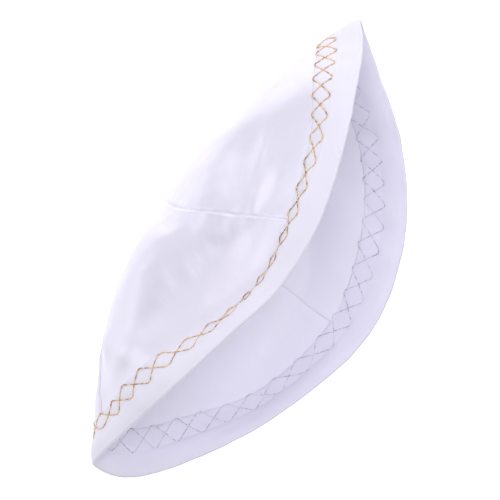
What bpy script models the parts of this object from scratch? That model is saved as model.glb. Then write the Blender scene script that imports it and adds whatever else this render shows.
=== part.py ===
"""A satin kippah lying open on its side: four crown panels, four lining panels and a rim binding.

The cap is described by sections. Each section runs from the crown's peak to the rim edge, and the
sections follow one another round the rim. The cloth layers are offsets of the surface that they give.
"""

import bpy
import numpy as np
from math import cos, pi, radians, sin

# Overall sizes of the cap as it lies, in metres
CAP_LENGTH = 0.215
CAP_DEPTH = 0.102
CAP_HEIGHT = 0.112

# Cloth
CROWN_CLOTH = 0.0010
LINING_CLOTH = 0.0010
LAYER_GAP = 0.0003
SEAM_GAP = 0.0003
BINDING_WIDTH = 0.0190
BINDING_FULLNESS = 0.0002
PEAK_GAP = 0.0012

# Length from the peak to the rim edge along the cloth, and how much of it each stretch takes
PANEL_HEIGHT = 0.118
HOOP_HEIGHT = 0.0205
ROW_HEIGHT = 0.0157
WAIST_SHARE = 0.43

# How far the cloth leaves the hoop in line with the hem, the rest in line with the panel
HEM_PULL = 0.6

# The cloth lies flat where the sections would pass below the surface that it rests on
REST_ROUNDING = 0.0012

# The peak, as shares of CAP_LENGTH, CAP_DEPTH and CAP_HEIGHT
PEAK = (0.005, -0.293, 0.214)

# A row for each section. Turn is in degrees round the rim from the seam on the upper side.
# Each point is along, across and height, as shares of CAP_LENGTH, CAP_DEPTH and CAP_HEIGHT.
# Edge is the rim edge, row the middle of the stitch row and waist the middle of the panel.
SECTIONS = (
    # turn, edge, row, waist
    (0, (0.110, 0.276, 1.000), (0.096, 0.193, 0.886), (0.010, -0.199, 0.642)),
    (25, (0.263, 0.203, 0.911), (0.252, 0.106, 0.793), (0.104, -0.232, 0.590)),
    (45, (0.373, 0.128, 0.764), (0.344, 0.012, 0.690), (0.169, -0.236, 0.524)),
    (65, (0.454, 0.061, 0.561), (0.408, -0.045, 0.509), (0.206, -0.224, 0.399)),
    (80, (0.497, -0.004, 0.399), (0.427, -0.065, 0.395), (0.215, -0.215, 0.295)),
    (95, (0.442, 0.150, 0.332), (0.394, 0.049, 0.280), (0.202, -0.163, 0.133)),
    (120, (0.331, 0.423, 0.251), (0.300, 0.309, 0.177), (0.152, -0.008, 0.000)),
    (150, (0.169, 0.638, 0.203), (0.160, 0.500, 0.140), (0.083, 0.098, -0.036)),
    (180, (-0.029, 0.705, 0.188), (-0.031, 0.585, 0.103), (-0.013, 0.142, -0.046)),
    (205, (-0.248, 0.551, 0.221), (-0.225, 0.472, 0.103), (-0.110, 0.081, -0.032)),
    (230, (-0.410, 0.337, 0.266), (-0.363, 0.244, 0.177), (-0.179, -0.061, 0.035)),
    (250, (-0.496, 0.150, 0.343), (-0.440, 0.061, 0.288), (-0.217, -0.183, 0.170)),
    (260, (-0.506, 0.008, 0.400), (-0.450, -0.045, 0.328), (-0.221, -0.232, 0.244)),
    (267, (-0.470, 0.012, 0.490), (-0.435, -0.063, 0.399), (-0.215, -0.256, 0.317)),
    (278, (-0.394, 0.057, 0.627), (-0.383, -0.041, 0.520), (-0.192, -0.272, 0.428)),
    (295, (-0.302, 0.114, 0.779), (-0.288, 0.016, 0.672), (-0.142, -0.280, 0.539)),
    (320, (-0.140, 0.207, 0.937), (-0.132, 0.157, 0.804), (-0.072, -0.256, 0.613)),
    (340, (-0.029, 0.272, 0.989), (-0.025, 0.215, 0.860), (-0.027, -0.215, 0.642)),
)

# Soft dents and folds in the satin, positive inwards. Turn and its reach are in degrees, share and its
# reach are shares of PANEL_HEIGHT from the peak, and depth is a share of DENT_DEPTH.
DENT_DEPTH = 0.0045
DENTS = (
    # name, turn, share, turn reach, share reach, depth
    ("hollow behind the right fold", 24, 0.57, 11, 0.070, 0.55),
    ("right fold, near end", 6, 0.682, 9, 0.022, -0.22),
    ("right fold, far end", 21, 0.652, 9, 0.022, -0.30),
    ("hollow between fold and stitches", 10, 0.735, 10, 0.032, 0.28),
    ("swell before the upper seam", 6, 0.50, 8, 0.100, -0.20),
    ("flat beside the left shoulder", 336, 0.40, 14, 0.070, 0.35),
    ("hollow on the left", 325, 0.62, 22, 0.110, 0.20),
    ("hollow before the left stitches", 344, 0.66, 20, 0.050, 0.35),
    ("left shoulder", 305, 0.50, 20, 0.050, -0.20),
    ("left fold, by the back", 282, 0.64, 5, 0.060, -0.60),
    ("left fold, middle", 289, 0.72, 5, 0.060, -0.55),
    ("left fold, by the stitches", 297, 0.80, 5, 0.060, -0.40),
    ("hollow below the left fold", 274, 0.80, 7, 0.120, 0.68),
    ("hem standing out", 352, 0.908, 40, 0.055, -0.75),
)

# Panels round the rim, from one seam to the next
PANELS = (
    ("upper_right", 0, 90),
    ("lower_right", 90, 180),
    ("lower_left", 180, 270),
    ("upper_left", 270, 360),
)

# How finely the cloth is divided
STRIP_LENGTH = 0.012
STRIP_BEND = radians(24)
SHARP_ANGLE = radians(50)
PANEL_ROWS = 15
BINDING_ROWS = 5
EDGE_STEPS = 4
SAMPLES = 720
TURN_STEP = 0.5
HEIGHT_STEP = 0.0004

SIZES = np.array((CAP_LENGTH, -CAP_DEPTH, CAP_HEIGHT))
TURNS = np.array([section[0] for section in SECTIONS], float)
EDGE = np.array([section[1] for section in SECTIONS]) * SIZES
ROW = np.array([section[2] for section in SECTIONS]) * SIZES
WAIST = np.array([section[3] for section in SECTIONS]) * SIZES


def round_the_rim(points, turns):
    """Points of a closed smooth curve through one point of each section."""
    turns = np.mod(np.asarray(turns, float), 360.0)
    around = np.concatenate((TURNS[-2:] - 360.0, TURNS, TURNS[:3] + 360.0))
    ring = np.concatenate((points[-2:], points, points[:3]))
    slopes = (ring[2:] - ring[:-2]) / (around[2:] - around[:-2])[:, None]
    start = np.searchsorted(around, turns, side="right") - 1
    width = (around[start + 1] - around[start])[..., None]
    share = (turns - around[start])[..., None] / width
    return hermite(ring[start], ring[start + 1], slopes[start - 1] * width, slopes[start] * width, share)


def hermite(first, last, leave, arrive, share):
    """A cubic between two points with given directions at its ends."""
    square, cube = share**2, share**3
    return (
        first * (2 * cube - 3 * square + 1)
        + leave * (cube - 2 * square + share)
        + last * (3 * square - 2 * cube)
        + arrive * (cube - square)
    )


def lie_flat(points):
    """Cloth that would pass below the surface lies on it, with a soft bend at the border."""
    points = points.copy()
    height = points[..., 2]
    bend = (height + REST_ROUNDING) ** 2 / (4 * REST_ROUNDING)
    points[..., 2] = np.where(height > REST_ROUNDING, height, np.where(height < -REST_ROUNDING, 0.0, bend))
    return points


def smooth_surface(turns, heights):
    """The outside of the cap without its dents, at turns in degrees and lengths from the peak."""
    turns, heights = np.broadcast_arrays(np.asarray(turns, float), np.asarray(heights, float))
    edge = round_the_rim(EDGE, turns)
    row = round_the_rim(ROW, turns)
    waist = round_the_rim(WAIST, turns)
    hoop = edge + (row - edge) * (HOOP_HEIGHT / ROW_HEIGHT)
    peak = np.array(PEAK) * SIZES

    waist_at = PANEL_HEIGHT * WAIST_SHARE
    hoop_at = PANEL_HEIGHT - HOOP_HEIGHT
    angle = np.radians(turns)
    leave_peak = np.stack((np.sin(angle), 0 * angle, np.cos(angle)), -1)
    pass_waist = (hoop - peak) / hoop_at
    reach_edge = (edge - hoop) / HOOP_HEIGHT
    pass_hoop = HEM_PULL * reach_edge + (1 - HEM_PULL) * (hoop - waist) / (hoop_at - waist_at)

    height = heights[..., None]
    crown = hermite(peak, waist, leave_peak * waist_at, pass_waist * waist_at, height / waist_at)
    span = hoop_at - waist_at
    side = hermite(waist, hoop, pass_waist * span, pass_hoop * span, (height - waist_at) / span)
    rim = hermite(
        hoop, edge, pass_hoop * HOOP_HEIGHT, reach_edge * HOOP_HEIGHT, (height - hoop_at) / HOOP_HEIGHT
    )
    upper = np.where(height < waist_at, crown, side)
    return np.where(height < hoop_at, upper, rim)


def inward(surface, turns, heights):
    """Unit directions from the outside of the cap into its hollow."""
    around = surface(turns + TURN_STEP, heights) - surface(turns - TURN_STEP, heights)
    along = surface(turns, heights + HEIGHT_STEP) - surface(turns, heights - HEIGHT_STEP)
    normal = np.cross(around, along)
    return normal / np.linalg.norm(normal, axis=-1, keepdims=True)


def dent_depth(turns, heights):
    """How far the cloth is pressed inwards by all the dents together."""
    depth = np.zeros(np.shape(turns))
    for _, turn, share, turn_reach, share_reach, deep in DENTS:
        aside = (np.mod(turns - turn + 180.0, 360.0) - 180.0) / turn_reach
        along = (heights / PANEL_HEIGHT - share) / share_reach
        depth += DENT_DEPTH * deep * np.exp(-(aside**2) - along**2)
    return depth


def outer_surface(turns, heights):
    """The outside of the cap as it lies, at turns in degrees and lengths from the peak."""
    turns, heights = np.broadcast_arrays(np.asarray(turns, float), np.asarray(heights, float))
    pressed = inward(smooth_surface, turns, heights) * dent_depth(turns, heights)[..., None]
    return lie_flat(smooth_surface(turns, heights) + pressed)


def layer(turns, heights, depth):
    """Points of the cloth at a depth under its outside."""
    across = inward(outer_surface, turns, heights)
    return outer_surface(turns, heights) + across * np.asarray(depth)[..., None]


def strip_turns(first, last):
    """Turns from one seam to the next, closer together where the rim bends more."""
    fine = np.linspace(first, last, SAMPLES)
    edge = outer_surface(fine, np.full(SAMPLES, PANEL_HEIGHT))
    steps = np.diff(edge, axis=0)
    lengths = np.linalg.norm(steps, axis=1)
    ways = steps / lengths[:, None]
    bends = np.arccos(np.clip((ways[1:] * ways[:-1]).sum(1), -1, 1))
    weight = lengths / STRIP_LENGTH
    weight[1:] += bends / STRIP_BEND
    total = np.concatenate(((0.0,), np.cumsum(weight)))
    count = int(round(total[-1]))
    return np.interp(np.linspace(0, total[-1], count + 1), total, fine)


def material(name, colour, roughness, metallic=0.0):
    finish = bpy.data.materials.new(name)
    finish.use_nodes = True
    shader = finish.node_tree.nodes["Principled BSDF"]
    shader.inputs["Base Color"].default_value = (*colour, 1.0)
    shader.inputs["Roughness"].default_value = roughness
    shader.inputs["Metallic"].default_value = metallic
    return finish


def add_piece(name, points, faces, finish):
    """An object from points and faces, with smooth shading and its edges kept."""
    mesh = bpy.data.meshes.new(name)
    mesh.from_pydata([tuple(point) for point in points], [], faces)
    mesh.update()
    mesh.shade_smooth()
    mesh.set_sharp_from_angle(angle=SHARP_ANGLE)
    mesh.materials.append(finish)
    piece = bpy.data.objects.new(name, mesh)
    bpy.context.scene.collection.objects.link(piece)
    return piece


def add_panel(name, first, last, near, far, finish):
    """One triangular panel of cloth between two depths, with a seam gap along both its sides."""
    turns = strip_turns(first, last)
    foot = PANEL_HEIGHT - BINDING_WIDTH - LAYER_GAP
    heights = np.linspace(PEAK_GAP, foot, PANEL_ROWS + 1)
    turn_grid, height_grid = np.meshgrid(turns, heights)
    for column, inset in ((0, 1), (-1, -1)):
        seam = turn_grid[:, column]
        spread = outer_surface(seam + TURN_STEP, heights) - outer_surface(seam - TURN_STEP, heights)
        per_degree = np.linalg.norm(spread, axis=1) / (2 * TURN_STEP)
        turn_grid[:, column] += inset * SEAM_GAP / 2 / per_degree
    outside = layer(turn_grid, height_grid, np.full(turn_grid.shape, near))
    inside = layer(turn_grid, height_grid, np.full(turn_grid.shape, far))

    rows, columns = turn_grid.shape
    points = np.concatenate((outside.reshape(-1, 3), inside.reshape(-1, 3)))

    def index(side, row, column):
        return side * rows * columns + row * columns + column

    faces = []
    for row in range(rows - 1):
        for column in range(columns - 1):
            near_half = ((row, column), (row + 1, column), (row + 1, column + 1))
            far_half = ((row, column), (row + 1, column + 1), (row, column + 1))
            for corners in (near_half, far_half):
                faces.append([index(0, *corner) for corner in corners])
                faces.append([index(1, *corner) for corner in reversed(corners)])
    border = [(0, column) for column in range(columns)]
    border += [(row, columns - 1) for row in range(1, rows)]
    border += [(rows - 1, column) for column in range(columns - 2, -1, -1)]
    border += [(row, 0) for row in range(rows - 2, 0, -1)]
    for here, after in zip(border, border[1:] + border[:1]):
        faces.append([index(0, *here), index(0, *after), index(1, *after), index(1, *here)])
    return add_piece(name, points, faces, finish)


def binding_profile():
    """Heights from the peak and depths round the cross-section of the binding."""
    thick = CROWN_CLOTH + LAYER_GAP + LINING_CLOTH
    near, far = -BINDING_FULLNESS, thick + BINDING_FULLNESS
    middle, radius = (near + far) / 2, (far - near) / 2
    top = PANEL_HEIGHT - BINDING_WIDTH
    straight = np.linspace(top, PANEL_HEIGHT - radius, BINDING_ROWS + 1)
    profile = [(height, near) for height in straight]
    for step in range(1, EDGE_STEPS):
        angle = pi * step / EDGE_STEPS
        profile.append((PANEL_HEIGHT - radius + radius * sin(angle), middle - radius * cos(angle)))
    profile += [(height, far) for height in reversed(straight)]
    return profile


def add_binding(name, finish):
    """The hem folded over the rim, one band all the way round."""
    turns = np.concatenate([strip_turns(first, last)[:-1] for _, first, last in PANELS])
    profile = binding_profile()
    rings = [
        layer(turns, np.full(turns.shape, height), np.full(turns.shape, depth))
        for height, depth in profile
    ]
    points = np.stack(rings, 1).reshape(-1, 3)
    around, across = len(turns), len(profile)
    faces = []
    for turn in range(around):
        after = (turn + 1) % around
        for step in range(across):
            following = (step + 1) % across
            faces.append([
                turn * across + step, turn * across + following,
                after * across + following, after * across + step,
            ])
    return add_piece(name, points, faces, finish)


def stand_on_origin(pieces):
    """Bring the middle of the cap's underside to the origin."""
    points = np.array([vertex.co for piece in pieces for vertex in piece.data.vertices])
    low, high = points.min(0), points.max(0)
    shift = (-(low[0] + high[0]) / 2, -(low[1] + high[1]) / 2, -low[2])
    for piece in pieces:
        for vertex in piece.data.vertices:
            vertex.co.x += shift[0]
            vertex.co.y += shift[1]
            vertex.co.z += shift[2]


def make_cap():
    for item in list(bpy.data.objects):
        bpy.data.objects.remove(item, do_unlink=True)
    satin = material("white_satin", (0.90, 0.89, 0.93), 0.32)
    lining = material("white_lining", (0.86, 0.85, 0.90), 0.80)
    binding = material("white_binding", (0.88, 0.87, 0.92), 0.45)
    lining_near = CROWN_CLOTH + LAYER_GAP
    pieces = []
    for side, first, last in PANELS:
        pieces.append(add_panel("crown_panel_" + side, first, last, 0.0, CROWN_CLOTH, satin))
    for side, first, last in PANELS:
        far = lining_near + LINING_CLOTH
        pieces.append(add_panel("lining_panel_" + side, first, last, lining_near, far, lining))
    pieces.append(add_binding("rim_binding", binding))
    stand_on_origin(pieces)


make_cap()
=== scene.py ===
"""The looks of a lined satin kippah that lies half open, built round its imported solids.

Laid out as a Blender add-on: sizes and colours are properties, each kind of piece has an operator,
and one panel in the sidebar lists them. All lengths are in metres.
"""

from math import atan, cos, pi, radians, sin

import bpy
import numpy as np
from bpy.props import FloatProperty, FloatVectorProperty, IntProperty
from bpy.types import Operator, Panel, PropertyGroup
from mathutils import Euler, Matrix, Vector


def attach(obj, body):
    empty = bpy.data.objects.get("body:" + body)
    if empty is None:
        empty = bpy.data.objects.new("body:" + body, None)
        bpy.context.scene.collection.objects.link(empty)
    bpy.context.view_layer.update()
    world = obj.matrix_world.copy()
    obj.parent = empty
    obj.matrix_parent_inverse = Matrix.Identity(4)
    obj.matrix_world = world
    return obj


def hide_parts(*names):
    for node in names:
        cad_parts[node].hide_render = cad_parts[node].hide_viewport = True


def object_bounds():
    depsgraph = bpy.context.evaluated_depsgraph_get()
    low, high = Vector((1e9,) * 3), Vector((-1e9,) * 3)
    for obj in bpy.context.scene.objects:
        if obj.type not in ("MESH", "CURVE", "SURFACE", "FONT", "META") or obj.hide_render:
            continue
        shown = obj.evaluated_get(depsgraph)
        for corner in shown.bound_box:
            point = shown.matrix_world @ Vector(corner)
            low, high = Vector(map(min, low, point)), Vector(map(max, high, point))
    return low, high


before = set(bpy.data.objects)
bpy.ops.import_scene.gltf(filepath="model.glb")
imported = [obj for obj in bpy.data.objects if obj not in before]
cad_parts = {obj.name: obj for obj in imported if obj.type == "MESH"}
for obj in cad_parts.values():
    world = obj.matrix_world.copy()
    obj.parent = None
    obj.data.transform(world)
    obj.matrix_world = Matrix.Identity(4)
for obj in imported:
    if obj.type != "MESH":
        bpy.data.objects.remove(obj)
CAD_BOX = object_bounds()

bl_info = {
    "name": "Satin kippah",
    "version": (1, 0, 0),
    "blender": (4, 5, 0),
    "location": "View3D > Sidebar > Kippah",
    "description": "Dresses the solids of a lined satin kippah as it lies half open",
    "category": "Object",
}

# The peak and the sections, as shares of the cap's length, depth and height. Each section has its
# turn round the rim in degrees, then along, across and height of rim edge, stitch row and waist.
PEAK = (0.005, -0.293, 0.214)
SECTIONS = (
    # turn, edge, row, waist
    (0, (0.110, 0.276, 1.000), (0.096, 0.193, 0.886), (0.010, -0.199, 0.642)),
    (25, (0.263, 0.203, 0.911), (0.252, 0.106, 0.793), (0.104, -0.232, 0.590)),
    (45, (0.373, 0.128, 0.764), (0.344, 0.012, 0.690), (0.169, -0.236, 0.524)),
    (65, (0.454, 0.061, 0.561), (0.408, -0.045, 0.509), (0.206, -0.224, 0.399)),
    (80, (0.497, -0.004, 0.399), (0.427, -0.065, 0.395), (0.215, -0.215, 0.295)),
    (95, (0.442, 0.150, 0.332), (0.394, 0.049, 0.280), (0.202, -0.163, 0.133)),
    (120, (0.331, 0.423, 0.251), (0.300, 0.309, 0.177), (0.152, -0.008, 0.000)),
    (150, (0.169, 0.638, 0.203), (0.160, 0.500, 0.140), (0.083, 0.098, -0.036)),
    (180, (-0.029, 0.705, 0.188), (-0.031, 0.585, 0.103), (-0.013, 0.142, -0.046)),
    (205, (-0.248, 0.551, 0.221), (-0.225, 0.472, 0.103), (-0.110, 0.081, -0.032)),
    (230, (-0.410, 0.337, 0.266), (-0.363, 0.244, 0.177), (-0.179, -0.061, 0.035)),
    (250, (-0.496, 0.150, 0.343), (-0.440, 0.061, 0.288), (-0.217, -0.183, 0.170)),
    (260, (-0.506, 0.008, 0.400), (-0.450, -0.045, 0.328), (-0.221, -0.232, 0.244)),
    (267, (-0.470, 0.012, 0.490), (-0.435, -0.063, 0.399), (-0.215, -0.256, 0.317)),
    (278, (-0.394, 0.057, 0.627), (-0.383, -0.041, 0.520), (-0.192, -0.272, 0.428)),
    (295, (-0.302, 0.114, 0.779), (-0.288, 0.016, 0.672), (-0.142, -0.280, 0.539)),
    (320, (-0.140, 0.207, 0.937), (-0.132, 0.157, 0.804), (-0.072, -0.256, 0.613)),
    (340, (-0.029, 0.272, 0.989), (-0.025, 0.215, 0.860), (-0.027, -0.215, 0.642)),
)

# Dents and folds of the cloth, positive inwards: turn and turn reach in degrees, share and share
# reach of the panel's height from the peak, and depth as a share of the dent depth.
DENTS = (
    # name, turn, share, turn reach, share reach, depth
    ("hollow behind the right fold", 24, 0.57, 11, 0.070, 0.55),
    ("right fold, near end", 6, 0.682, 9, 0.022, -0.22),
    ("right fold, far end", 21, 0.652, 9, 0.022, -0.30),
    ("hollow between fold and stitches", 10, 0.735, 10, 0.032, 0.28),
    ("swell before the upper seam", 6, 0.50, 8, 0.100, -0.20),
    ("flat beside the left shoulder", 336, 0.40, 14, 0.070, 0.35),
    ("hollow on the left", 325, 0.62, 22, 0.110, 0.20),
    ("hollow before the left stitches", 344, 0.66, 20, 0.050, 0.35),
    ("left shoulder", 305, 0.50, 20, 0.050, -0.20),
    ("left fold, by the back", 282, 0.64, 5, 0.060, -0.60),
    ("left fold, middle", 289, 0.72, 5, 0.060, -0.55),
    ("left fold, by the stitches", 297, 0.80, 5, 0.060, -0.40),
    ("hollow below the left fold", 274, 0.80, 7, 0.120, 0.68),
    ("hem standing out", 352, 0.908, 40, 0.055, -0.75),
)

# How far the cloth leaves the hoop in line with the hem, the rest in line with the panel
HEM_PULL = 0.6

# Steps in degrees of turn and metres of cloth for measuring the surface's direction
TURN_STEP = 0.5
HEIGHT_STEP = 0.0004

# Grids of a panel and of the hem, how far a panel's columns crowd towards its seams, and the cloth
# left out at the peak
PANEL_ROWS = 100
PANEL_COLUMNS = 110
SEAM_CROWDING = 0.72
HEM_COLUMNS = 1180
PEAK_START = 0.0001

# Where the inner side of the hem creases most below the stitches, and how far round, in degrees.
# Elsewhere only the last share of the crease is left.
CREASE_TURN = 228.0
CREASE_REACH = 38.0
CREASE_LEAST = 0.2

# Distances over which relief fades out: above the surface that the cap lies on, towards the hem,
# towards the peak, under the hem, from the lip and towards the fold of the hem
REST_FADE = 0.004
HEM_CALM = 0.012
PEAK_CALM = 0.006
UNDER_HEM_FADE = 0.004
LIP_FADE = 0.0008
FOLD_FADE = 0.002

# The hem's profile: how far past the binding's top its close rows end and its coarse rows start,
# how many there are of each and of steps round the fold, and the gap under its laps
CLOSE_ROWS_TO = 0.0105
COARSE_ROWS_FROM = 0.0113
CLOSE_ROWS = 23
COARSE_ROWS = 9
FOLD_STEPS = 10
LAP_GAP = 0.00002

# The lip's thickness at its end, as a share of its full one
LIP_END_SHARE = 0.15

# Reach of the groove at the foot of the stitch row, of the roll past it and of the edge's wave, and
# the pitch of the hem's slack
ROW_GROOVE_REACH = 0.0011
ROLL_PAST_ROW = 0.001
EDGE_WAVE_REACH = 0.006
HEM_SLACK_PITCH = 0.012

# Waves of the folded edge: how many round the rim, their size and where they start
EDGE_WAVES = ((31, 1.0, 1), (53, 0.7, 0), (19, 0.5, 2))

# A stitch of unit length and width: sides, steps and twist of its two strands, their distance from
# its middle, their radius, its share left at the ends, and how high the stitch arches
STRAND_SIDES = 4
STRAND_STEPS = 6
STRAND_TWIST = 1.5
STRAND_APART = 0.22
STRAND_RADIUS = 0.30
STRAND_END_SHARE = 0.45
STITCH_ARCH = 0.35

# Height of the middle of a thread above the cloth, and length of a stitch over its step, as shares
THREAD_LIFT = 0.30
STITCH_OVERLAP = 1.06

# Half of the distance over which the hem's outer colour turns into its paler inner one, painted
# light on the inside of the fold
HEM_PAINTED_LIGHT_FADE = 0.0015

# The darker flecks of satin and lining, as shares of their colours, and the spread of the satin's
# roughness
SATIN_SHADE = 0.975
LINING_SHADE = 0.97
GLOSS_SPREAD = 0.05

# The satin's fine ripples, as shares of the pitch and depth of its loose ripples, and how much of
# the relief the lining shows
FINE_PITCH_SHARE = 0.3
FINE_DEPTH_SHARE = 0.12
LINING_RELIEF_SHARE = 0.5

# Height that the lights aim at, height where the picture's width is measured, gap under the cap and
# half of the floor's side
AIM_HEIGHT = 0.04
PICTURE_HEIGHT = 0.044
FLOOR_GAP = 0.0002
FLOOR_HALF = 3.0

# Each light's direction is to the picture's right, to its top and towards the camera. Its size is a
# share of the light size.
LIGHTS = (
    # name, direction, size share, power
    ("key_light", (0.2, 1.0, 0.45), 1.0, "key_power"),
    ("side_light", (-1.0, 0.0, 0.32), 0.7, "side_power"),
    ("overhead_light", (0.1, 0.0, 1.0), 0.8, "overhead_power"),
)

# Panels round the rim, from one seam to the next
PANELS = (
    ("upper_right", 0, 90),
    ("lower_right", 90, 180),
    ("lower_left", 180, 270),
    ("upper_left", 270, 360),
)


class KippahShapeSizes(PropertyGroup):
    """Overall sizes of the cap as it lies, and of its cloth."""

    cap_length: FloatProperty(
        name="Length", description="Share unit along the cap", default=0.215, unit="LENGTH"
    )
    cap_depth: FloatProperty(
        name="Depth", description="Share unit across the cap", default=0.102, unit="LENGTH"
    )
    cap_height: FloatProperty(
        name="Height", description="Share unit of the heights", default=0.112, unit="LENGTH"
    )
    panel_height: FloatProperty(
        name="Panel height", description="Cloth from the peak to the rim edge",
        default=0.118, unit="LENGTH",
    )
    waist_share: FloatProperty(
        name="Waist", description="Where the waist lies between peak and edge", default=0.43
    )
    hoop_height: FloatProperty(
        name="Hoop", description="Stiff cloth above the rim edge", default=0.0205, unit="LENGTH"
    )
    row_height: FloatProperty(
        name="Row height", description="Middle of the stitch row above the edge",
        default=0.0157, unit="LENGTH",
    )
    rest_rounding: FloatProperty(
        name="Rest rounding", description="Bend where the cloth meets the surface",
        default=0.0012, unit="LENGTH",
    )
    dent_depth: FloatProperty(
        name="Dent depth", description="Depth of a full dent", default=0.0045, unit="LENGTH"
    )
    crown_cloth: FloatProperty(
        name="Crown cloth", description="Thickness of the satin", default=0.001, unit="LENGTH"
    )
    lining_cloth: FloatProperty(
        name="Lining cloth", description="Thickness of the lining", default=0.001, unit="LENGTH"
    )
    layer_gap: FloatProperty(
        name="Layer gap", description="Gap between the layers", default=0.0003, unit="LENGTH"
    )
    fullness: FloatProperty(
        name="Hem fullness", description="Hem proud of the panels", default=0.0002, unit="LENGTH"
    )


class KippahClothSizes(PropertyGroup):
    """Fine relief of the cloth."""

    seam_groove: FloatProperty(
        name="Seam groove", description="Depth of a seam", default=0.0005, unit="LENGTH"
    )
    seam_reach: FloatProperty(
        name="Seam reach", description="Half width of a seam", default=0.0007, unit="LENGTH"
    )
    seam_ridge: FloatProperty(
        name="Seam ridge", description="Roll beside a seam", default=0.00018, unit="LENGTH"
    )
    allowance_lift: FloatProperty(
        name="Allowance lift", description="Lift over the cloth folded under a seam",
        default=0.0003, unit="LENGTH",
    )
    allowance_width: FloatProperty(
        name="Allowance width", description="Width of the cloth folded under a seam",
        default=0.006, unit="LENGTH",
    )
    pucker_depth: FloatProperty(
        name="Pucker", description="Depth of the puckers beside a seam",
        default=0.00016, unit="LENGTH",
    )
    pucker_pitch: FloatProperty(
        name="Pucker pitch", description="Distance between puckers", default=0.0075, unit="LENGTH"
    )
    ripple_depth: FloatProperty(
        name="Ripple", description="Depth of the loose ripples in the satin",
        default=0.00035, unit="LENGTH",
    )
    ripple_pitch: FloatProperty(
        name="Ripple pitch", description="Size of the ripples", default=0.022, unit="LENGTH"
    )


class KippahBindingSizes(PropertyGroup):
    """The hem folded over the rim."""

    binding_width: FloatProperty(
        name="Binding width", description="From the rim edge to the binding's top",
        default=0.019, unit="LENGTH",
    )
    lip_lap: FloatProperty(
        name="Lap", description="Lap of the binding over the panels", default=0.0012, unit="LENGTH"
    )
    lip_cloth: FloatProperty(
        name="Lip", description="Thickness of the lap", default=0.0002, unit="LENGTH"
    )
    edge_thickness: FloatProperty(
        name="Edge thickness", description="Thickness at the fold of the hem",
        default=0.0017, unit="LENGTH",
    )
    wave_depth: FloatProperty(
        name="Edge wave", description="Unevenness of the folded edge",
        default=0.00008, unit="LENGTH",
    )
    roll_height: FloatProperty(
        name="Roll", description="Fullness of the plain hem", default=0.00045, unit="LENGTH"
    )
    puff_height: FloatProperty(
        name="Puff", description="Cloth standing out between stitches",
        default=0.0003, unit="LENGTH",
    )
    inner_puff_share: FloatProperty(
        name="Inner puff", description="Share of the puff seen inside", default=0.2
    )
    groove_reach: FloatProperty(
        name="Groove width", description="Half width of the dip under a stitch",
        default=0.0009, unit="LENGTH",
    )
    groove_depth: FloatProperty(
        name="Groove depth", description="Dip between the roll and the stitches",
        default=0.00035, unit="LENGTH",
    )
    unevenness: FloatProperty(
        name="Unevenness", description="Slack of the hem", default=0.00012, unit="LENGTH"
    )


class KippahStitchSizes(PropertyGroup):
    """The trellis row of stitches."""

    diamonds: IntProperty(name="Diamonds", description="Diamonds round the rim", default=47)
    first_crossing: FloatProperty(
        name="First crossing", description="Turn of a crossing in degrees", default=-2.0
    )
    gold_row_width: FloatProperty(
        name="Gold row width", description="Width of the trellis outside",
        default=0.0092, unit="LENGTH",
    )
    silver_row_width: FloatProperty(
        name="Silver row width", description="Width of the trellis inside",
        default=0.0104, unit="LENGTH",
    )
    silver_row_drop: FloatProperty(
        name="Silver row drop", description="Silver row nearer the edge than the gold row",
        default=0.0004, unit="LENGTH",
    )
    stitches_per_diamond: IntProperty(
        name="Stitches", description="Stitches of one thread in a diamond", default=7
    )
    gold_width: FloatProperty(
        name="Gold", description="Width of the gold thread", default=0.00056, unit="LENGTH"
    )
    silver_width: FloatProperty(
        name="Silver", description="Width of the silver thread", default=0.00038, unit="LENGTH"
    )


class KippahColours(PropertyGroup):
    """Colours of the cloth, thread and floor."""

    satin: FloatVectorProperty(
        name="Satin", description="Satin colour", subtype="COLOR", default=(0.84, 0.82, 0.925)
    )
    hem: FloatVectorProperty(
        name="Hem", description="Hem's outside", subtype="COLOR", default=(0.80, 0.785, 0.88)
    )
    # Painted light: the hem is one strip of satin, and past its fold its inside is given this paler
    # colour
    hem_inside_painted_light: FloatVectorProperty(
        name="Hem inside", description="Hem's paler inside", subtype="COLOR",
        default=(0.85, 0.83, 0.94),
    )
    lining: FloatVectorProperty(
        name="Lining", description="Lining colour", subtype="COLOR", default=(0.92, 0.90, 0.995)
    )
    gold: FloatVectorProperty(
        name="Gold", description="Gold thread colour", subtype="COLOR", default=(0.95, 0.67, 0.31)
    )
    gold_dark: FloatVectorProperty(
        name="Dark gold", description="Shaded flecks of the gold thread", subtype="COLOR",
        default=(0.45, 0.24, 0.08),
    )
    silver: FloatVectorProperty(
        name="Silver", description="Silver thread colour", subtype="COLOR",
        default=(0.84, 0.83, 0.87),
    )
    silver_dark: FloatVectorProperty(
        name="Dark silver", description="Shaded flecks of the silver", subtype="COLOR",
        default=(0.46, 0.45, 0.48),
    )
    floor: FloatVectorProperty(
        name="Floor", description="Floor colour", subtype="COLOR", default=(0.95, 0.95, 0.96)
    )


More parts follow.
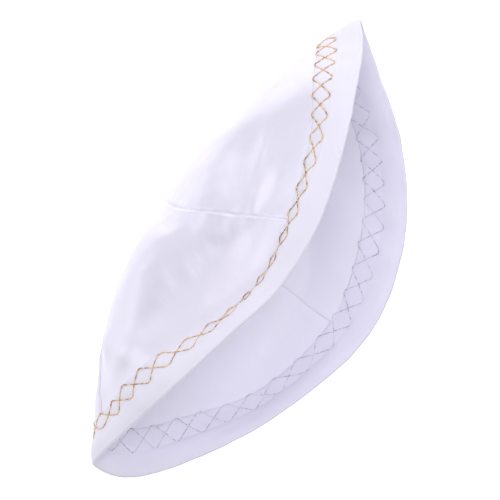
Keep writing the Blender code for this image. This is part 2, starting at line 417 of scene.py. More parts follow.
class KippahStageSizes(PropertyGroup):
    """Camera and lights."""

    picture_width: FloatProperty(
        name="Picture width", description="Width seen by the camera", default=0.2067, unit="LENGTH"
    )
    camera_distance: FloatProperty(
        name="Camera distance", description="Camera above the cap", default=2.4, unit="LENGTH"
    )
    picture_turn: FloatProperty(
        name="Picture turn", description="Turn of the picture over the cap",
        default=radians(-58.85), unit="ROTATION",
    )
    aim_along: FloatProperty(
        name="Aim along", description="Picture's middle along the cap",
        default=0.0025, unit="LENGTH",
    )
    aim_across: FloatProperty(
        name="Aim across", description="Picture's middle across the cap",
        default=0.0098, unit="LENGTH",
    )
    key_power: FloatProperty(
        name="Key light", description="Low light beyond the picture's top, in watts",
        default=7.3, unit="POWER",
    )
    side_power: FloatProperty(
        name="Side light", description="Low light left of the picture, in watts",
        default=3.6, unit="POWER",
    )
    overhead_power: FloatProperty(
        name="Overhead light", description="Light beside the camera, in watts",
        default=10.3, unit="POWER",
    )
    light_distance: FloatProperty(
        name="Light distance", description="From the cap to each light", default=1.3, unit="LENGTH"
    )
    light_size: FloatProperty(
        name="Light size", description="Side of a low light", default=1.0, unit="LENGTH"
    )
    light_tint: FloatVectorProperty(
        name="Light tint", description="Colour of the lights", subtype="COLOR",
        default=(0.955, 0.945, 1.0),
    )
    sky_strength: FloatProperty(
        name="Surroundings", description="Strength of the white surroundings", default=0.20
    )
    floor_glow: FloatProperty(
        name="Floor glow", description="Light that the lit floor gives off", default=0.5
    )


def hermite(first, last, leave, arrive, share):
    """A cubic between two points with given directions at its ends."""
    square, cube = share**2, share**3
    return (
        first * (2 * cube - 3 * square + 1)
        + leave * (cube - 2 * square + share)
        + last * (3 * square - 2 * cube)
        + arrive * (cube - square)
    )


def ripple(points, pitch, seed, waves=14):
    """A smooth random relief of height about one, the same each time for a seed."""
    chance = np.random.default_rng(seed)
    relief = np.zeros(points.shape[:-1])
    for _ in range(waves):
        way = chance.normal(size=3)
        way *= 2 * pi / (pitch * chance.uniform(0.7, 1.6) * np.linalg.norm(way))
        relief += np.sin(points @ way + chance.uniform(0, 2 * pi))
    return relief / (0.5 * waves) ** 0.5


class CapShape:
    """The outside of the cap, by turn round the rim in degrees and cloth from the peak."""

    def __init__(self, sizes):
        self.sizes = sizes
        scale = np.array((sizes.cap_length, -sizes.cap_depth, sizes.cap_height))
        self.peak = np.array(PEAK) * scale
        self.turns = np.array([section[0] for section in SECTIONS], float)
        self.edge, self.row, self.waist = (
            np.array([section[part] for section in SECTIONS]) * scale for part in (1, 2, 3)
        )
        self.shift = np.zeros(3)
        depths = np.array((-sizes.fullness, self.wall() + sizes.fullness))
        turns = np.arange(0.0, 360.0, 2.0)
        heights = np.linspace(0.001, sizes.panel_height, 60)
        turns, heights, depths = np.meshgrid(turns, heights, depths, indexing="ij")
        cloth = self.layer(turns, heights, depths).reshape(-1, 3)
        offset = (np.array(CAD_BOX[0]) + np.array(CAD_BOX[1]) - cloth.min(0) - cloth.max(0)) / 2
        self.shift = np.array((offset[0], offset[1], 0.0))

    def wall(self):
        return self.sizes.crown_cloth + self.sizes.layer_gap + self.sizes.lining_cloth

    def round_the_rim(self, points, turns):
        """A closed smooth curve through one point of each section."""
        turns = np.mod(turns, 360.0)
        around = np.concatenate((self.turns[-2:] - 360.0, self.turns, self.turns[:3] + 360.0))
        ring = np.concatenate((points[-2:], points, points[:3]))
        slopes = (ring[2:] - ring[:-2]) / (around[2:] - around[:-2])[:, None]
        start = np.searchsorted(around, turns, side="right") - 1
        width = (around[start + 1] - around[start])[..., None]
        share = (turns - around[start])[..., None] / width
        leave, arrive = slopes[start - 1] * width, slopes[start] * width
        return hermite(ring[start], ring[start + 1], leave, arrive, share)

    def smooth(self, turns, heights):
        """The cap without its dents."""
        sizes = self.sizes
        turns, heights = np.broadcast_arrays(np.asarray(turns, float), np.asarray(heights, float))
        edge, row, waist = (
            self.round_the_rim(part, turns) for part in (self.edge, self.row, self.waist)
        )
        hoop = edge + (row - edge) * (sizes.hoop_height / sizes.row_height)
        waist_at = sizes.panel_height * sizes.waist_share
        hoop_at = sizes.panel_height - sizes.hoop_height
        angle = np.radians(turns)
        leave_peak = np.stack((np.sin(angle), 0 * angle, np.cos(angle)), -1)
        pass_waist = (hoop - self.peak) / hoop_at
        reach_edge = (edge - hoop) / sizes.hoop_height
        pass_hoop = HEM_PULL * (edge - hoop) / sizes.hoop_height
        pass_hoop = pass_hoop + (1 - HEM_PULL) * (hoop - waist) / (hoop_at - waist_at)
        height = heights[..., None]
        span = hoop_at - waist_at
        crown = hermite(
            self.peak, waist, leave_peak * waist_at, pass_waist * waist_at, height / waist_at
        )
        side = hermite(waist, hoop, pass_waist * span, pass_hoop * span, (height - waist_at) / span)
        rim = hermite(
            hoop, edge, pass_hoop * sizes.hoop_height, reach_edge * sizes.hoop_height,
            (height - hoop_at) / sizes.hoop_height,
        )
        return np.where(height < hoop_at, np.where(height < waist_at, crown, side), rim)

    def inward(self, surface, turns, heights):
        """Unit directions from the outside into the hollow."""
        around = surface(turns + TURN_STEP, heights) - surface(turns - TURN_STEP, heights)
        along = surface(turns, heights + HEIGHT_STEP) - surface(turns, heights - HEIGHT_STEP)
        normal = np.cross(around, along)
        return normal / np.linalg.norm(normal, axis=-1, keepdims=True)

    def pressed(self, turns, heights):
        """How far the dents press the cloth inwards."""
        depth = np.zeros(np.shape(turns))
        for _, turn, share, turn_reach, share_reach, deep in DENTS:
            aside = (np.mod(turns - turn + 180.0, 360.0) - 180.0) / turn_reach
            along = (heights / self.sizes.panel_height - share) / share_reach
            depth += self.sizes.dent_depth * deep * np.exp(-(aside**2) - along**2)
        return depth

    def outer(self, turns, heights):
        """The outside of the cap as it lies."""
        turns, heights = np.broadcast_arrays(np.asarray(turns, float), np.asarray(heights, float))
        inward = self.inward(self.smooth, turns, heights)
        points = self.smooth(turns, heights) + inward * self.pressed(turns, heights)[..., None]
        rounding = self.sizes.rest_rounding
        height = points[..., 2]
        bend = (height + rounding) ** 2 / (4 * rounding)
        resting = np.where(height < -rounding, 0.0, bend)
        points[..., 2] = np.where(height > rounding, height, resting)
        return points + self.shift

    def layer(self, turns, heights, depth):
        """Points of the cloth at a depth under the outside."""
        inward = self.inward(self.outer, turns, heights)
        return self.outer(turns, heights) + inward * np.asarray(depth)[..., None]

    def per_degree(self, turns, heights):
        """Length of cloth for a degree of turn."""
        step = self.outer(turns + TURN_STEP, heights) - self.outer(turns - TURN_STEP, heights)
        return np.linalg.norm(step, axis=-1) / (2 * TURN_STEP)


def add_mesh_piece(name, points, faces, finish, uv):
    """A smooth object from points and faces, with a UV map in metres of cloth."""
    mesh = bpy.data.meshes.new(name)
    mesh.from_pydata(points.tolist(), [], faces.tolist())
    loops = np.empty(len(mesh.loops), int)
    mesh.loops.foreach_get("vertex_index", loops)
    layer = mesh.uv_layers.new(name="cloth")
    layer.data.foreach_set("uv", uv[loops].astype(np.float32).ravel())
    mesh.update()
    mesh.shade_smooth()
    mesh.materials.append(finish)
    piece = bpy.data.objects.new(name, mesh)
    bpy.context.scene.collection.objects.link(piece)
    return piece


def grid_faces(rows, columns, start=0):
    """Quads of a grid of points, row by row."""
    index = start + np.arange(rows * columns).reshape(rows, columns)
    corners = (index[:-1, :-1], index[1:, :-1], index[1:, 1:], index[:-1, 1:])
    return np.stack(corners, -1).reshape(-1, 4)


def border_faces(rows, columns):
    """Quads that join the borders of two equal grids, one after the other."""
    index = np.arange(rows * columns).reshape(rows, columns)
    here = np.concatenate((index[0], index[1:, -1], index[-1, -2::-1], index[-2:0:-1, 0]))
    after = np.roll(here, -1)
    return np.stack((here, after, after + rows * columns, here + rows * columns), 1)


def panel_grid(first, last, foot):
    """Turns and heights of a panel, closer together beside its seams."""
    even = np.linspace(0, 1, PANEL_COLUMNS)
    crowded = 0.5 - 0.5 * np.cos(pi * even)
    turns = first + (last - first) * (even * (1 - SEAM_CROWDING) + crowded * SEAM_CROWDING)
    heights = np.linspace(PEAK_START, foot, PANEL_ROWS)
    return np.meshgrid(turns, heights)


def seam_relief(shape, cloth, turns, heights, first, last):
    """Groove, ridge and puckers beside the two seams of a panel, positive inwards."""
    per_degree = shape.per_degree(turns, heights)
    relief = np.zeros(turns.shape)
    for seam, lifted in ((first, False), (last, True)):
        aside = np.abs(turns - seam) * per_degree
        relief += cloth.seam_groove * np.exp(-((aside / cloth.seam_reach) ** 2))
        if lifted:
            over = np.clip(1 - aside / cloth.allowance_width, 0, 1)
            relief -= cloth.allowance_lift * over**2 * (3 - 2 * over)
            relief -= cloth.seam_ridge * np.exp(-((aside / cloth.seam_reach - 1.5) ** 2))
        wave = np.sin(2 * pi * heights / cloth.pucker_pitch + seam) + 0.6 * np.sin(
            2 * pi * heights / (1.7 * cloth.pucker_pitch) + 2 * seam
        )
        relief += cloth.pucker_depth * wave * np.exp(-aside / cloth.allowance_width)
    return relief


def cloth_uv(shape, turns, heights, first, last):
    """A UV map in metres: across from the panel's middle, and along from its peak."""
    across = (turns - (first + last) / 2) * shape.per_degree(turns, heights)
    return np.stack((across.ravel(), heights.ravel()), 1)


def make_panel(name, node, side, finish, near, far, seen_outside):
    """A panel of cloth between two depths, with its relief on the side that is seen."""
    scene = bpy.context.scene
    shape = CapShape(scene.kippah_shape)
    cloth = scene.kippah_cloth
    _, first, last = side
    foot = shape.sizes.panel_height - scene.kippah_binding.binding_width - shape.sizes.layer_gap
    turns, heights = panel_grid(first, last, foot)
    relief = seam_relief(shape, cloth, turns, heights, first, last)
    outside = shape.outer(turns, heights)
    off_floor = np.clip(outside[..., 2] / REST_FADE, 0, 1)
    loose = ripple(outside, cloth.ripple_pitch, 3) * cloth.ripple_depth
    fine = ripple(outside, cloth.ripple_pitch * FINE_PITCH_SHARE, 5)
    loose = loose + fine * cloth.ripple_depth * FINE_DEPTH_SHARE
    calm = np.clip((foot - heights) / HEM_CALM, 0, 1) * np.clip(heights / PEAK_CALM, 0, 1)
    under_hem = np.clip((foot - heights) / UNDER_HEM_FADE, 0, 1)
    relief = np.where(relief < 0, relief * under_hem, relief)
    if seen_outside:
        near_depth = near + (relief + loose * calm) * off_floor
        far_depth = np.full(turns.shape, far)
    else:
        near_depth = np.full(turns.shape, near)
        far_depth = far - LINING_RELIEF_SHARE * relief + LINING_RELIEF_SHARE * loose * calm
    inward = shape.inward(shape.outer, turns, heights)
    points = [outside + inward * depth[..., None] for depth in (near_depth, far_depth)]
    rows, columns = turns.shape
    faces = np.concatenate((
        grid_faces(rows, columns),
        grid_faces(rows, columns, rows * columns)[:, ::-1],
        border_faces(rows, columns),
    ))
    uv = cloth_uv(shape, turns, heights, first, last)
    uv = np.concatenate((uv, uv))
    piece = add_mesh_piece(name, np.concatenate(points).reshape(-1, 3), faces, finish, uv)
    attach(piece, "root")
    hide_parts(node)


def fill(tree, node, inputs):
    """Feed the inputs of a node from the outputs of others, or give them constant values."""
    for label, value in inputs.items():
        if isinstance(value, bpy.types.NodeSocket):
            tree.links.new(value, node.inputs[label])
        else:
            node.inputs[label].default_value = value


def adder(tree):
    """A helper that adds nodes to a tree, with what their inputs hold and their settings."""

    def add(kind, inputs=(), **settings):
        node = tree.nodes.new(kind)
        for key, value in settings.items():
            setattr(node, key, value)
        fill(tree, node, dict(inputs))
        return node

    return add


def new_finish(name):
    """A new material with its tree and its Principled shader."""
    finish = bpy.data.materials.new(name)
    finish.use_nodes = True
    return finish, finish.node_tree, finish.node_tree.nodes["Principled BSDF"]


def mapped_noise(add, source, scale, detail, stretch=(1, 1, 1)):
    """A noise texture on scaled coordinates."""
    place = add("ShaderNodeMapping", {"Vector": source, "Scale": stretch}).outputs["Vector"]
    noise = add("ShaderNodeTexNoise", {"Vector": place, "Scale": scale, "Detail": detail})
    return noise.outputs["Fac"]


def tone(add, factor, dark, light, low=0.3, high=0.7):
    """A colour ramp between two colours."""
    ramp = add("ShaderNodeValToRGB", {"Fac": factor})
    for stop, place, colour in zip(ramp.color_ramp.elements, (low, high), (dark, light)):
        stop.position = place
        stop.color = (*colour, 1)
    return ramp.outputs["Color"]


def weave(add, first, second, strength, distance):
    """The direction of a weave of two patterns, raised in the light only."""
    both = add("ShaderNodeMath", {0: first, 1: second}, operation="ADD").outputs[0]
    bump = add("ShaderNodeBump", {"Height": both, "Strength": strength, "Distance": distance})
    return bump.outputs["Normal"]


def satin_finish(name, colour, roughness, metallic, inside=None):
    """Satin: fine floats along the cloth and a soft broken gloss.

    Inside gives the paler colour past the fold of a hem, painted light on the inside of the fold,
    and where the fold lies along the UV map.
    """
    finish, tree, shader = new_finish(name)
    add = adder(tree)
    uv = add("ShaderNodeUVMap", uv_map="cloth").outputs["UV"]
    shade = mapped_noise(add, uv, 60, 3)
    cloth_tone = tone(add, shade, [channel * SATIN_SHADE for channel in colour], colour)
    # Past the fold the hem's colour turns paler: painted light on the inside of the fold
    if inside is not None:
        inner_painted_light_colour, fold_at = inside
        along = add("ShaderNodeSeparateXYZ", {0: uv}).outputs["Y"]
        painted_light_past_fold = add("ShaderNodeMapRange", {
            "Value": along,
            "From Min": fold_at - HEM_PAINTED_LIGHT_FADE,
            "From Max": fold_at + HEM_PAINTED_LIGHT_FADE,
        })
        cloth_tone = tone(add, painted_light_past_fold.outputs["Result"], colour, inner_painted_light_colour, 0.0, 1.0)
    floats = mapped_noise(add, uv, 1, 2, (2600, 420, 1))
    slubs = mapped_noise(add, uv, 1, 2, (900, 90, 1))
    gloss = add("ShaderNodeMapRange", {
        "Value": slubs, "To Min": roughness - GLOSS_SPREAD, "To Max": roughness + GLOSS_SPREAD
    })
    fill(tree, shader, {
        "Base Color": cloth_tone,
        "Normal": weave(add, floats, slubs, 0.35, 0.00012),
        "Roughness": gloss.outputs["Result"],
        "Metallic": metallic,
        "Specular IOR Level": 0.5,
        "Sheen Weight": 0.1,
        "Sheen Roughness": 0.4,
    })
    return finish


def lining_finish(name, colour):
    """Matte plain-weave lining."""
    finish, tree, shader = new_finish(name)
    add = adder(tree)
    uv = add("ShaderNodeUVMap", uv_map="cloth").outputs["UV"]
    shade = mapped_noise(add, uv, 45, 3)
    threads = {"Vector": uv, "Scale": 900, "Distortion": 0.6}
    waves = [add("ShaderNodeTexWave", threads, bands_direction=axis) for axis in ("X", "Y")]
    fill(tree, shader, {
        "Base Color": tone(add, shade, [channel * LINING_SHADE for channel in colour], colour),
        "Normal": weave(add, *(wave.outputs["Fac"] for wave in waves), 0.25, 0.0001),
        "Roughness": 0.85,
        "Specular IOR Level": 0.25,
        "Sheen Weight": 0.3,
        "Sheen Roughness": 0.5,
    })
    return finish


def thread_finish(name, colour, dark, roughness, metallic):
    """Metallic thread with shaded and bright flecks where it twists."""
    finish, tree, shader = new_finish(name)
    add = adder(tree)
    fleck = mapped_noise(add, add("ShaderNodeTexCoord").outputs["Object"], 620, 2)
    fill(tree, shader, {
        "Base Color": tone(add, fleck, dark, colour, 0.40, 0.52),
        "Roughness": roughness,
        "Metallic": metallic,
    })
    return finish


class KIPPAH_OT_crown_panels(Operator):
    """Make the satin crown panels."""

    bl_idname = "kippah.crown_panels"
    bl_label = "Crown panels"

    def execute(self, context):
        sizes = context.scene.kippah_shape
        satin = satin_finish("white_satin", context.scene.kippah_colours.satin, 0.43, 0.16)
        for side in PANELS:
            node = "crown_panel_" + side[0]
            make_panel("satin_" + side[0], node, side, satin, 0.0, sizes.crown_cloth, True)
        return {"FINISHED"}


class KIPPAH_OT_lining_panels(Operator):
    """Make the matte lining panels."""

    bl_idname = "kippah.lining_panels"
    bl_label = "Lining panels"

    def execute(self, context):
        sizes = context.scene.kippah_shape
        near = sizes.crown_cloth + sizes.layer_gap
        lining = lining_finish("white_lining", context.scene.kippah_colours.lining)
        for side in PANELS:
            node = "lining_panel_" + side[0]
            far = near + sizes.lining_cloth
            make_panel("lining_" + side[0], node, side, lining, near, far, False)
        return {"FINISHED"}


def trellis_swing(stitches, place):
    """Where the first thread stands in the row, -1 to 1, at a place counted in diamonds."""
    steps = stitches.stitches_per_diamond
    needle = np.arange(2 * steps + 1) / steps
    peaks = np.sin(pi * needle)
    straight = np.arcsin(np.clip(peaks, -1, 1)) * 2 / pi
    return np.interp(np.mod(place, 2.0), needle, straight / np.abs(straight).max())


def row_place(shape, stitches, inside):
    """Width of a trellis row, and its middle above the rim edge."""
    if inside:
        return stitches.silver_row_width, shape.sizes.row_height - stitches.silver_row_drop
    return stitches.gold_row_width, shape.sizes.row_height


def hem_relief(shape, binding, stitches, turns, heights, places, inside):
    """How far the hem stands out of its flat form: a full roll, then puffs between the stitches."""
    row_width, row_middle = row_place(shape, stitches, inside)
    from_edge = shape.sizes.panel_height - heights
    row_foot = row_middle - row_width / 2
    along_roll = np.clip(from_edge / (row_foot + ROLL_PAST_ROW), 0, 1)
    roll = np.sin(pi * along_roll) ** 0.8 * binding.roll_height
    place = (turns - stitches.first_crossing) * stitches.diamonds / 360
    swing = trellis_swing(stitches, place) * row_width / 2
    across = from_edge - row_middle
    nearest = np.minimum(np.abs(across - swing), np.abs(across + swing)) * cos(radians(45))
    within = np.exp(-((across / (row_width * 0.62)) ** 6))
    full = binding.inner_puff_share if inside else 1.0
    free = 1 - np.exp(-((nearest / binding.groove_reach) ** 2))
    puffs = full * binding.puff_height * free * within
    groove = -binding.groove_depth * np.exp(-(((from_edge - row_foot) / ROW_GROOVE_REACH) ** 2))
    if inside:
        from_crease = np.mod(turns - CREASE_TURN + 180.0, 360.0) - 180.0
        crease = np.exp(-((from_crease / CREASE_REACH) ** 2))
        groove = groove * (CREASE_LEAST + (1 - CREASE_LEAST) * crease)
    soft = ripple(places, HEM_SLACK_PITCH, 8) * binding.unevenness
    return roll + puffs + groove * within + soft


def binding_profile(shape, binding):
    """Heights from the peak, depths and share of relief round the cross-section of the hem."""
    top = shape.sizes.panel_height - binding.binding_width
    wall = shape.wall()
    middle = wall / 2
    radius = binding.edge_thickness / 2
    turn_back = shape.sizes.panel_height - radius
    lip = top - binding.lip_lap
    run = np.concatenate((
        np.linspace(lip, top + CLOSE_ROWS_TO, CLOSE_ROWS),
        np.linspace(top + COARSE_ROWS_FROM, turn_back, COARSE_ROWS),
    ))
    narrow = np.clip((run - top) / (turn_back - top), 0, 1) ** 3
    thin = LIP_END_SHARE + (1 - LIP_END_SHARE) * np.clip((run - lip) / (2 * binding.lip_lap), 0, 1)
    near = -binding.lip_cloth * thin * (1 - narrow) + (middle - radius) * narrow
    share = np.clip((run - lip) / LIP_FADE, 0, 1) * np.clip((turn_back - run) / FOLD_FADE, 0, 1)
    outside = [(height, depth, -part) for height, depth, part in zip(run, near, share)]
    bends = [pi * step / FOLD_STEPS for step in range(1, FOLD_STEPS)]
    fold = [(turn_back + radius * sin(bend), middle - radius * cos(bend), 0.0) for bend in bends]
    inside = [(height, wall - depth, -part) for height, depth, part in reversed(outside)]
    far, near = wall + LAP_GAP, -LAP_GAP
    butt = [(lip, far, 0.0), (top, far, 0.0), (top, near, 0.0), (lip, near, 0.0)]
    return np.array(outside + fold + inside + butt)


class KIPPAH_OT_rim_binding(Operator):
    """Make the hem folded over the rim."""

    bl_idname = "kippah.rim_binding"
    bl_label = "Rim binding"

    def execute(self, context):
        scene = context.scene
        shape = CapShape(scene.kippah_shape)
        binding = scene.kippah_binding
        profile = binding_profile(shape, binding)
        turns = np.linspace(0, 360, HEM_COLUMNS, endpoint=False)
        turn_grid, heights = np.meshgrid(turns, profile[:, 0], indexing="ij")
        edge_at = shape.sizes.panel_height
        angle = np.radians(turns)
        wave = sum(size * np.sin(angle * count + start) for count, size, start in EDGE_WAVES)
        low = np.clip(1 - (edge_at - heights) / EDGE_WAVE_REACH, 0, 1)
        heights = heights + low * binding.wave_depth * wave[:, None]
        outside = shape.outer(turn_grid, heights)
        reliefs = [
            hem_relief(shape, binding, scene.kippah_stitches, turn_grid, heights, outside, inside)
            for inside in (False, True)
        ]
        relief = np.where(profile[:, 1] < shape.wall() / 2, *reliefs)
        off_floor = np.clip(outside[..., 2] / REST_FADE, 0, 1)
        depths = profile[:, 1] + profile[:, 2] * relief * off_floor
        points = outside + shape.inward(shape.outer, turn_grid, heights) * depths[..., None]
        around, across = turn_grid.shape
        index = np.arange(around * across).reshape(around, across)
        onward, following = np.roll(index, -1, 0), np.roll(index, -1, 1)
        faces = np.stack((index, following, np.roll(onward, -1, 1), onward), -1).reshape(-1, 4)
        lengths = np.linalg.norm(np.diff(profile[:, :2], axis=0), axis=1)
        walk = np.concatenate(((0,), np.cumsum(lengths)))
        per_degree = shape.per_degree(turns, np.full(turns.shape, edge_at))
        along = np.cumsum(per_degree) * 360 / HEM_COLUMNS
        uv = np.stack((np.repeat(along, across), np.tile(walk, around)), 1)
        colours = scene.kippah_colours
        fold_at = walk[np.argmax(profile[:, 0])]
        # The hem's inside is painted paler than its outside: painted light
        satin = satin_finish("binding_satin", colours.hem, 0.50, 0.0, (colours.hem_inside_painted_light, fold_at))
        piece = add_mesh_piece("folded_hem", points.reshape(-1, 3), faces, satin, uv)
        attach(piece, "root")
        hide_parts("rim_binding")
        return {"FINISHED"}


def stitch_unit():
    """One stitch of unit length and width along Z: two strands that twist round each other."""
    sides, steps = STRAND_SIDES, STRAND_STEPS
    points, faces = [], []
    for strand in range(2):
        start = len(points)
        for step in range(steps + 1):
            share = step / steps
            angle = 2 * pi * STRAND_TWIST * share + pi * strand
            dip = sin(pi * share) ** 0.4 if 0 < share < 1 else 0.0
            arch = STITCH_ARCH * dip - STITCH_ARCH
            aside, up = STRAND_APART * cos(angle), STRAND_APART * sin(angle) * 0.9
            centre = Vector((aside + arch, up, share - 0.5))
            radius = STRAND_RADIUS * (STRAND_END_SHARE + (1 - STRAND_END_SHARE) * dip)
            for side in range(sides):
                way = 2 * pi * side / sides + angle
                points.append(centre + Vector((radius * cos(way), radius * sin(way), 0)))
        for step in range(steps):
            for side in range(sides):
                here = start + step * sides + side
                beside = start + step * sides + (side + 1) % sides
                faces.append((here, beside, beside + sides, here + sides))
        faces.append([start + side for side in reversed(range(sides))])
        faces.append([start + steps * sides + side for side in range(sides)])
    mesh = bpy.data.meshes.new("stitch_unit")
    mesh.from_pydata([tuple(point) for point in points], [], faces)
    mesh.shade_smooth()
    unit = bpy.data.objects.new("stitch_unit", mesh)
    bpy.context.scene.collection.objects.link(unit)
    return unit


def stitch_tree(name, unit, finish):
    """Geometry Nodes that lay a stitch along each edge of a path. Its points carry the normal."""
    tree = bpy.data.node_groups.new(name, "GeometryNodeTree")
    for label, way, kind in (
        ("Geometry", "INPUT", "NodeSocketGeometry"),
        ("Thread width", "INPUT", "NodeSocketFloat"),
        ("Stitch overlap", "INPUT", "NodeSocketFloat"),
        ("Geometry", "OUTPUT", "NodeSocketGeometry"),
    ):
        tree.interface.new_socket(label, in_out=way, socket_type=kind)

    add = adder(tree)

    def named(label, kind):
        """The output that reads an attribute."""
        node = add("GeometryNodeInputNamedAttribute", {"Name": label}, data_type=kind)
        return node.outputs["Attribute"]

    source = add("NodeGroupInput").outputs
    ends = add("GeometryNodeInputMeshEdgeVertices").outputs
    ends = {0: ends["Position 2"], 1: ends["Position 1"]}
    way = add("ShaderNodeVectorMath", ends, operation="SUBTRACT").outputs["Vector"]
    length = add("ShaderNodeVectorMath", {0: way}, operation="LENGTH").outputs["Value"]
    path = source["Geometry"]
    read = {}
    for label, kind, value in (
        ("stitch_way", "FLOAT_VECTOR", way),
        ("stitch_lift", "FLOAT_VECTOR", named("lift", "FLOAT_VECTOR")),
        ("stitch_length", "FLOAT", length),
    ):
        inputs = {"Name": label, "Geometry": path, "Value": value}
        keep = add("GeometryNodeStoreNamedAttribute", inputs, data_type=kind, domain="EDGE")
        path = keep.outputs["Geometry"]
        read[label] = named(label, kind)
    turn = add(
        "FunctionNodeAxesToRotation",
        {"Primary Axis": read["stitch_way"], "Secondary Axis": read["stitch_lift"]},
        primary_axis="Z", secondary_axis="X",
    )
    factors = {0: read["stitch_length"], 1: source["Stitch overlap"]}
    length = add("ShaderNodeMath", factors, operation="MULTIPLY").outputs["Value"]
    width = source["Thread width"]
    place = add("GeometryNodeInstanceOnPoints", {
        "Points": add("GeometryNodeMeshToPoints", {"Mesh": path}, mode="EDGES").outputs["Points"],
        "Instance": add("GeometryNodeObjectInfo", {"Object": unit}).outputs["Geometry"],
        "Rotation": turn.outputs["Rotation"],
        "Scale": add("ShaderNodeCombineXYZ", {"X": width, "Y": width, "Z": length}).outputs[0],
    })
    real = add("GeometryNodeRealizeInstances", {"Geometry": place.outputs["Instances"]})
    coat = {"Geometry": real.outputs["Geometry"], "Material": finish}
    coat = add("GeometryNodeSetMaterial", coat)
    add("NodeGroupOutput", {"Geometry": coat.outputs["Geometry"]})
    return tree


def trellis_path(scene, shape, inside, width):
    """Needle points of the trellis's two threads, and the direction out of the cloth at each."""
    stitches, binding = scene.kippah_stitches, scene.kippah_binding
    row_width, row_middle = row_place(shape, stitches, inside)
    steps = stitches.stitches_per_diamond
    place = np.arange(stitches.diamonds * steps + 1) / steps
    turns = stitches.first_crossing + place * 360 / stitches.diamonds
    points, lifts = [], []
    for sign in (1, -1):
        swing = sign * trellis_swing(stitches, place)
        heights = shape.sizes.panel_height - row_middle - swing * row_width / 2
        places = shape.outer(turns, heights)
        relief = hem_relief(shape, binding, stitches, turns, heights, places, inside)
        proud = binding.lip_cloth + relief + THREAD_LIFT * width
        depth = shape.wall() + proud if inside else -proud
        points.append(shape.layer(turns, heights, depth))
        lifts.append(shape.inward(shape.outer, turns, heights) * (1 if inside else -1))
    return points, lifts


def make_trellis(name, inside, width, finish):
    """A row of trellis stitches on one face of the cloth."""
    scene = bpy.context.scene
    points, lifts = trellis_path(scene, CapShape(scene.kippah_shape), inside, width)
    count = len(points[0])
    mesh = bpy.data.meshes.new(name + "_path")
    starts = [start + step for start in (0, count) for step in range(count - 1)]
    mesh.from_pydata(np.concatenate(points).tolist(), [(start, start + 1) for start in starts], [])
    lift = mesh.attributes.new("lift", "FLOAT_VECTOR", "POINT")
    lift.data.foreach_set("vector", np.concatenate(lifts).astype(np.float32).ravel())
    path = bpy.data.objects.new(name + "_path", mesh)
    scene.collection.objects.link(path)
    unit = stitch_unit()
    tree = stitch_tree(name + "_stitches", unit, finish)
    modifier = path.modifiers.new("stitches", "NODES")
    modifier.node_group = tree
    inputs = [item for item in tree.interface.items_tree if item.in_out == "INPUT"]
    sockets = {item.name: item.identifier for item in inputs}
    modifier[sockets["Thread width"]] = width
    modifier[sockets["Stitch overlap"]] = STITCH_OVERLAP
    graph = bpy.context.evaluated_depsgraph_get()
    made = bpy.data.meshes.new_from_object(path.evaluated_get(graph))
    made.name = name
    made.materials.clear()
    made.materials.append(finish)
    made.shade_smooth()
    for leftover in (path, unit):
        bpy.data.objects.remove(leftover, do_unlink=True)
    piece = bpy.data.objects.new(name, made)
    scene.collection.objects.link(piece)
    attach(piece, "root")
    return piece


class KIPPAH_OT_gold_trellis(Operator):
    """Make the gold stitches outside."""

    bl_idname = "kippah.gold_trellis"
    bl_label = "Gold trellis"

    def execute(self, context):
        colours = context.scene.kippah_colours
        width = context.scene.kippah_stitches.gold_width
        gold = thread_finish("gold_thread", colours.gold, colours.gold_dark, 0.34, 0.5)
        piece = make_trellis("gold_trellis", False, width, gold)
        return {"FINISHED"}


class KIPPAH_OT_silver_trellis(Operator):
    """Make the silver stitches inside."""

    bl_idname = "kippah.silver_trellis"
    bl_label = "Silver trellis"

    def execute(self, context):
        colours = context.scene.kippah_colours
        width = context.scene.kippah_stitches.silver_width
        silver = thread_finish("silver_thread", colours.silver, colours.silver_dark, 0.38, 0.5)
        piece = make_trellis("silver_trellis", True, width, silver)
        return {"FINISHED"}


def add_area_light(name, stage, way, size, power):
    """A square light aimed at the cap from a direction that turns with the picture."""
    light = bpy.data.lights.new(name, "AREA")
    light.shape, light.size, light.energy, light.color = "SQUARE", size, power, stage.light_tint
    lamp = bpy.data.objects.new(name, light)
    away = Vector(way).normalized()
    away.rotate(Euler((0, 0, stage.picture_turn)))
    lamp.location = Vector((0, 0, AIM_HEIGHT)) + away * stage.light_distance
    lamp.rotation_euler = (-away).to_track_quat("-Z", "Y").to_euler()
    bpy.context.scene.collection.objects.link(lamp)


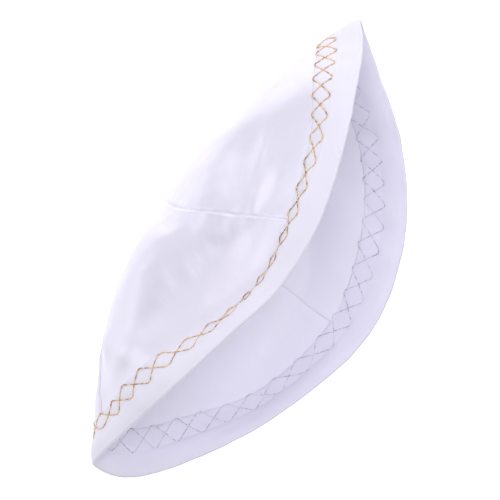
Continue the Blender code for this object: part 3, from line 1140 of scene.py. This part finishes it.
class KIPPAH_OT_stage(Operator):
    """Make the floor, the lights and the camera."""

    bl_idname = "kippah.stage"
    bl_label = "Stage"

    def execute(self, context):
        scene = context.scene
        stage = scene.kippah_stage
        floor_mesh = bpy.data.meshes.new("floor")
        corners = [(-1, -1), (1, -1), (1, 1), (-1, 1)]
        corners = [(FLOOR_HALF * x, FLOOR_HALF * y, 0) for x, y in corners]
        floor_mesh.from_pydata(corners, [], [(0, 1, 2, 3)])
        finish, tree, shader = new_finish("pale_floor")
        fill(tree, shader, {
            "Base Color": (*scene.kippah_colours.floor, 1),
            "Roughness": 0.9,
            "Emission Color": (1, 1, 1, 1),
            "Emission Strength": stage.floor_glow,
        })
        floor_mesh.materials.append(finish)
        floor = bpy.data.objects.new("floor", floor_mesh)
        floor.location.z = -FLOOR_GAP
        scene.collection.objects.link(floor)

        world = bpy.data.worlds.new("white_surroundings")
        world.use_nodes = True
        background = world.node_tree.nodes["Background"]
        surroundings = {"Color": (1, 1, 1, 1), "Strength": stage.sky_strength}
        fill(world.node_tree, background, surroundings)
        scene.world = world
        scene.view_settings.view_transform = "Standard"

        for name, way, share, power in LIGHTS:
            add_area_light(name, stage, way, share * stage.light_size, getattr(stage, power))

        camera_data = bpy.data.cameras.new("camera")
        camera_data.sensor_width = 36.0
        half_view = atan(stage.picture_width / 2 / (stage.camera_distance - PICTURE_HEIGHT))
        camera_data.angle = 2 * half_view
        camera_data.clip_end = 20
        camera = bpy.data.objects.new("camera", camera_data)
        camera.rotation_euler = (0, 0, stage.picture_turn)
        camera.location = (stage.aim_along, stage.aim_across, stage.camera_distance)
        scene.collection.objects.link(camera)
        scene.camera = camera
        return {"FINISHED"}


class KIPPAH_PT_maker(Panel):
    """Lists the pieces of the kippah."""

    bl_label = "Kippah"
    bl_idname = "KIPPAH_PT_maker"
    bl_space_type = "VIEW_3D"
    bl_region_type = "UI"
    bl_category = "Kippah"

    def draw(self, context):
        for operator in OPERATORS:
            self.layout.operator(operator.bl_idname)
        for name, _ in GROUPS:
            box = self.layout.box()
            group = getattr(context.scene, name)
            for key in type(group).__annotations__:
                box.prop(group, key)


GROUPS = (
    ("kippah_shape", KippahShapeSizes),
    ("kippah_cloth", KippahClothSizes),
    ("kippah_binding", KippahBindingSizes),
    ("kippah_stitches", KippahStitchSizes),
    ("kippah_colours", KippahColours),
    ("kippah_stage", KippahStageSizes),
)
OPERATORS = (
    KIPPAH_OT_crown_panels,
    KIPPAH_OT_lining_panels,
    KIPPAH_OT_rim_binding,
    KIPPAH_OT_gold_trellis,
    KIPPAH_OT_silver_trellis,
    KIPPAH_OT_stage,
)


def register():
    for name, group in GROUPS:
        bpy.utils.register_class(group)
        setattr(bpy.types.Scene, name, bpy.props.PointerProperty(type=group))
    for operator in OPERATORS:
        bpy.utils.register_class(operator)
    bpy.utils.register_class(KIPPAH_PT_maker)


def unregister():
    bpy.utils.unregister_class(KIPPAH_PT_maker)
    for operator in reversed(OPERATORS):
        bpy.utils.unregister_class(operator)
    for name, group in reversed(GROUPS):
        delattr(bpy.types.Scene, name)
        bpy.utils.unregister_class(group)


def main():
    register()
    bpy.ops.kippah.crown_panels()
    bpy.ops.kippah.lining_panels()
    bpy.ops.kippah.rim_binding()
    bpy.ops.kippah.gold_trellis()
    bpy.ops.kippah.silver_trellis()
    bpy.ops.kippah.stage()


if __name__ == "__main__":
    main()
